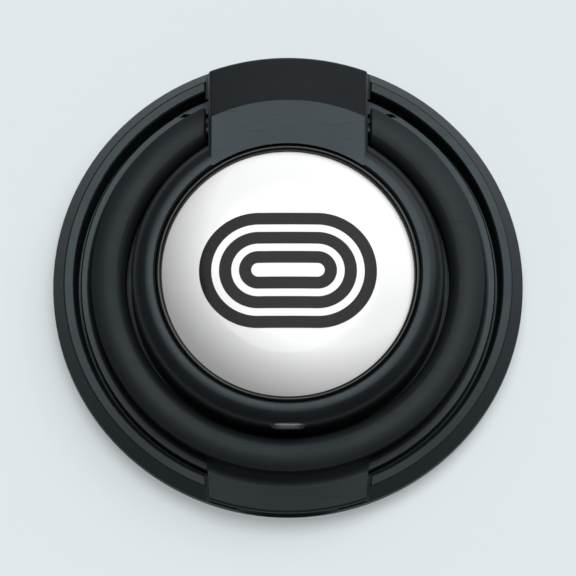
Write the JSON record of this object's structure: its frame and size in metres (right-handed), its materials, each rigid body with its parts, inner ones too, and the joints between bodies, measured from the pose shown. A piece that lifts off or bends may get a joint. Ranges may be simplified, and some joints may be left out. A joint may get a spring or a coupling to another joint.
{
  "type": "phone ring holder",
  "caption": "Round stick-on ring holder: a swivelling black dish with a domed white medallion in a cup, and a hinged finger ring with a lift tab that folds flat around it.",
  "frame": {"origin": "centre of the adhesive face, on the swivel's axis", "axes": "+Z out of the adhesive face towards the medallion, +Y from the swivel's axis towards the ring's hinge"},
  "size_m": [0.0366, 0.0366, 0.0075],
  "materials": {
    "black_plastic": "satin moulded black",
    "white_insert": "white coated blank under a clear gloss",
    "foam_tape": "closed-cell foam tape",
    "clear_tape": "translucent tape",
    "nylon": "natural nylon",
    "steel": "zinc-plated steel",
    "gloss_black": "polished black",
    "black_steel": "black-oxide steel"
  },
  "bodies": {
    "base": {"adhesive_pad": "foam_tape", "base_plate": "black_steel", "swivel_stud": "steel", "slip_washer": "nylon", "disc_spring": "steel", "retaining_washer": "steel", "centre_screw": "steel"},
    "turntable": {"turntable": "black_plastic", "cap": "black_plastic", "cap_screws": "steel", "hinge_bush": "nylon", "medallion_tape": "clear_tape", "medallion": "white_insert", "bezel_ring": "gloss_black"},
    "ring": {"finger_ring": "black_plastic", "hinge_pin": "black_steel"}
  },
  "joints": [
    {"name": "swivel", "type": "hinge", "parent": "base", "child": "turntable", "pos_m": [0, 0, 0], "axis": [0, 0, 1], "continuous": true},
    {"name": "ring_hinge", "type": "hinge", "parent": "turntable", "child": "ring", "pos_m": [0, 0.01212, 0.00335], "axis": [-1, 0, 0], "range_deg": [0, 125]}
  ]
}
